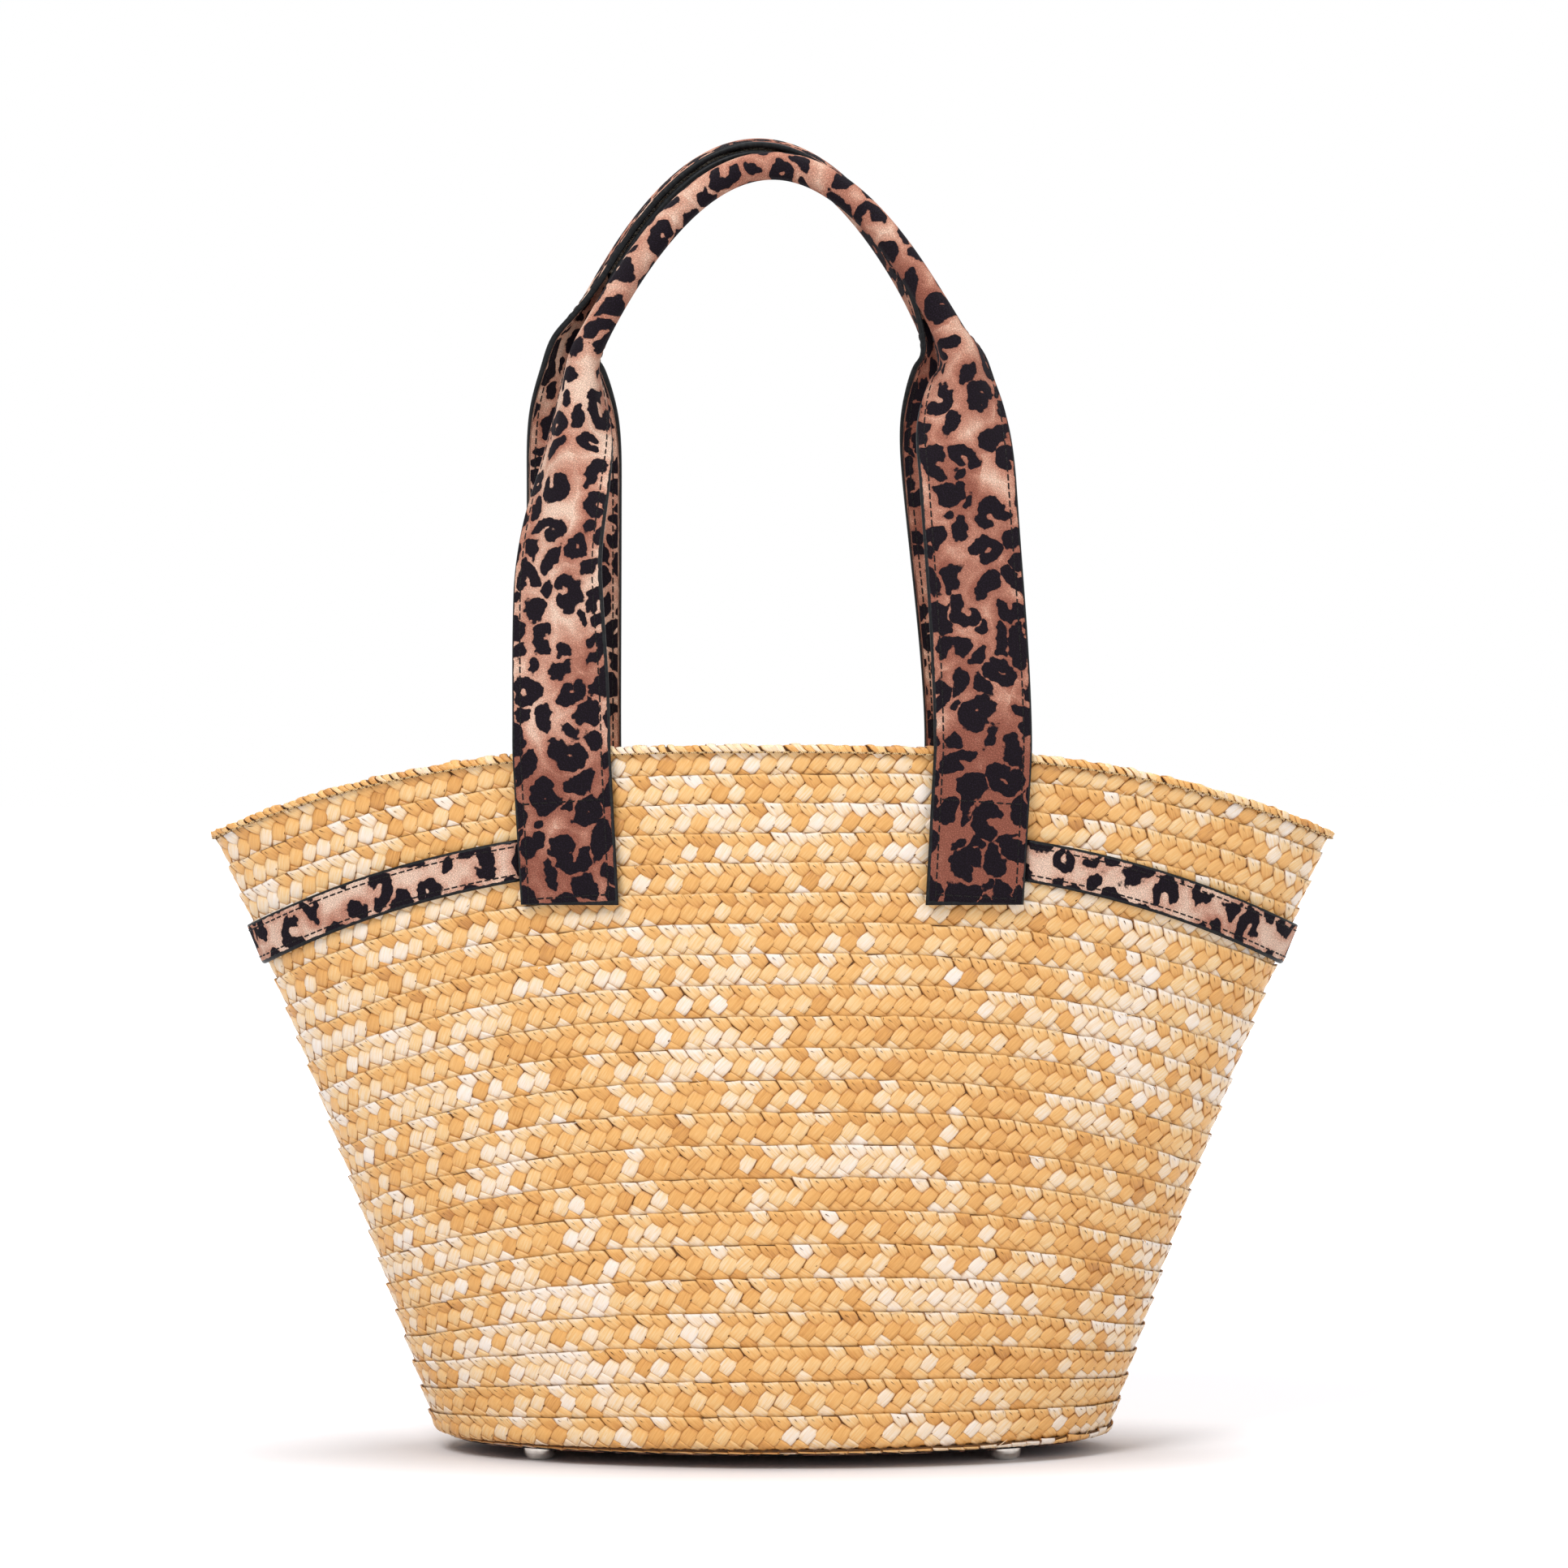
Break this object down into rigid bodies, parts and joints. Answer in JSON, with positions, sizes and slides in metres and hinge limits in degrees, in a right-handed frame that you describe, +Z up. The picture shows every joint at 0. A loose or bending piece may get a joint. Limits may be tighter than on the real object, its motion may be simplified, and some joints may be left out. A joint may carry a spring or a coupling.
{
  "type": "beach bag",
  "caption": "Tote bag of plaited straw sewn in overlapping courses, with a printed base patch, metal feet, side bands and two shoulder straps that fold down.",
  "frame": {"origin": "on the floor under the middle of the base, at the middle of the bag's box", "axes": "+X to the right end of the mouth, -Y to the front, +Z up"},
  "size_m": [0.4618, 0.1556, 0.5395],
  "materials": {
    "straw": "plaited wheat straw, satin",
    "straw_edging": "folded straw plait, satin",
    "lining_cloth": "plain cotton, matte",
    "board": "pressed board, matte",
    "printed_strap": "printed cloth with a spotted cat pattern and painted edges",
    "nickel": "bright nickel plate",
    "steel": "plain zinc steel",
    "filler_cord": "soft cotton cord, matte"
  },
  "bodies": {
    "bag": {"straw_wall": "straw", "straw_bottom": "straw", "rim_edging": "straw_edging", "lining": "lining_cloth", "base_board": "board", "base_patch": "printed_strap", "foot_front_left": "nickel", "foot_front_right": "nickel", "foot_back_left": "nickel", "foot_back_right": "nickel", "washer_front_left": "steel", "washer_front_right": "steel", "washer_back_left": "steel", "washer_back_right": "steel", "tab_front_left": "printed_strap", "tab_front_right": "printed_strap", "tab_back_left": "printed_strap", "tab_back_right": "printed_strap", "band_left": "printed_strap", "band_right": "printed_strap"},
    "front_handle": {"front_handle_outer_strip": "printed_strap", "front_handle_inner_strip": "printed_strap", "front_handle_cord": "filler_cord"},
    "back_handle": {"back_handle_outer_strip": "printed_strap", "back_handle_inner_strip": "printed_strap", "back_handle_cord": "filler_cord"}
  },
  "joints": [
    {"name": "front_handle_swing", "type": "hinge", "parent": "bag", "child": "front_handle", "pos_m": [0, -0.07405, 0.26502], "axis": [1, 0, 0], "range_deg": [0, 165]},
    {"name": "back_handle_swing", "type": "hinge", "parent": "bag", "child": "back_handle", "pos_m": [0, 0.07405, 0.26502], "axis": [-1, 0, 0], "range_deg": [0, 165]}
  ]
}
